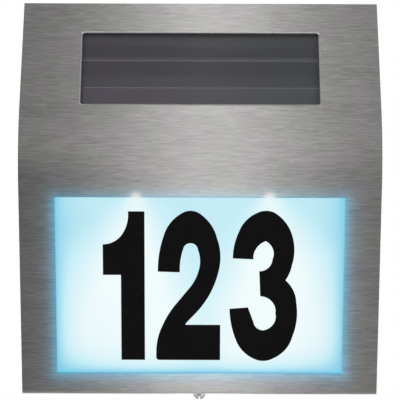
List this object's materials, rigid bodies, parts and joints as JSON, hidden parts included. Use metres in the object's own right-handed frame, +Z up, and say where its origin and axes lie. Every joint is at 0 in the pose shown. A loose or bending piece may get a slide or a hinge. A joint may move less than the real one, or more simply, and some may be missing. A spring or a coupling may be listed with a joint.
{
  "type": "illuminated house number sign",
  "caption": "Wall sign of bent brushed steel with a solar panel above and a back-lit number plate below, hung on a bracket.",
  "frame": {"origin": "on the wall plane, behind the middle of the sign's width, where the bracket's flat back meets the wall", "axes": "+X to the right seen from the front, +Y back into the wall, +Z up"},
  "size_m": [0.18, 0.05, 0.2018],
  "materials": {
    "bracket_steel": "galvanised pressed sheet",
    "brushed_sheet": "fine horizontal brushing",
    "plated_steel": "zinc plated",
    "foam": "closed-cell foam tape",
    "opal_acrylic": "opal, lit from behind",
    "black_film": "satin black cut film",
    "clear_cover": "clear flat cover",
    "solar_cell": "dark silicon strips",
    "panel_board": "panel backing",
    "black_housing": "fine spark-eroded grain",
    "white_film": "white reflector film",
    "white_board": "white solder resist",
    "lamp_white": "white lamp with a clear dome",
    "green_board": "green solder resist",
    "chip_black": "moulded black",
    "ferrite": "pressed ferrite",
    "can_sleeve": "shrunk sleeve",
    "switch_metal": "tinned case",
    "switch_black": "moulded knob",
    "cell_sleeve": "shrunk sleeve, no print",
    "contact_plate": "nickel plated strip",
    "bright_screw": "polished stainless",
    "lead_yellow": "insulated wire",
    "lead_white": "insulated wire",
    "lead_red": "insulated wire"
  },
  "bodies": {
    "bracket": {"wall_bracket": "bracket_steel"},
    "sign": {"front_cover": "brushed_sheet", "weld_studs": "plated_steel", "stud_nuts": "plated_steel", "number_gasket": "foam", "solar_gasket": "foam", "number_plate": "opal_acrylic", "digit_1": "black_film", "digit_2": "black_film", "digit_3": "black_film", "solar_glass": "clear_cover", "solar_cells": "solar_cell", "solar_backing": "panel_board", "housing": "black_housing", "rear_gasket": "foam", "rear_cover": "black_housing", "rear_screws": "plated_steel", "reflector": "white_film", "led_board": "white_board", "leds": "lamp_white", "main_board": "green_board", "board_screws": "plated_steel", "controller_chip": "chip_black", "inductor": "ferrite", "capacitor": "can_sleeve", "chip_resistors": "chip_black", "switch_body": "switch_metal", "battery_tray": "black_housing", "battery": "cell_sleeve", "negative_contact": "contact_plate", "positive_contact": "contact_plate", "lock_nut": "plated_steel", "solar_leads": "lead_yellow", "led_leads": "lead_white", "battery_leads": "lead_red"},
    "retaining_washer": {"lock_washer": "bright_screw"},
    "lock_screw": {"lock_screw": "bright_screw"},
    "switch_slider": {"switch_slider": "switch_black"},
    "battery_door": {"battery_door": "black_housing", "door_seal": "foam", "door_screws": "plated_steel"}
  },
  "joints": [
    {"name": "sign_swing", "type": "hinge", "parent": "bracket", "child": "sign", "pos_m": [0, -0.0061, 0.08], "axis": [-1, 0, 0], "range_deg": [0, 11]},
    {"name": "lock_screw_drop", "type": "slide", "parent": "sign", "child": "retaining_washer", "axis": [0, 0, -1], "range_m": [0, 0.0025]},
    {"name": "lock_screw_turn", "type": "hinge", "parent": "retaining_washer", "child": "lock_screw", "pos_m": [0, -0.0065, -0.1], "axis": [0, 0, -1], "range_deg": [0, 1800]},
    {"name": "switch_slide", "type": "slide", "parent": "sign", "child": "switch_slider", "axis": [1, 0, 0], "range_m": [0, 0.003]},
    {"name": "battery_door_lift", "type": "slide", "parent": "sign", "child": "battery_door", "axis": [0, 1, 0], "range_m": [0, 0.016]}
  ],
  "couplings": [
    {"joint": "lock_screw_turn", "follows": "lock_screw_drop", "rad_per_m": 12566}
  ]
}
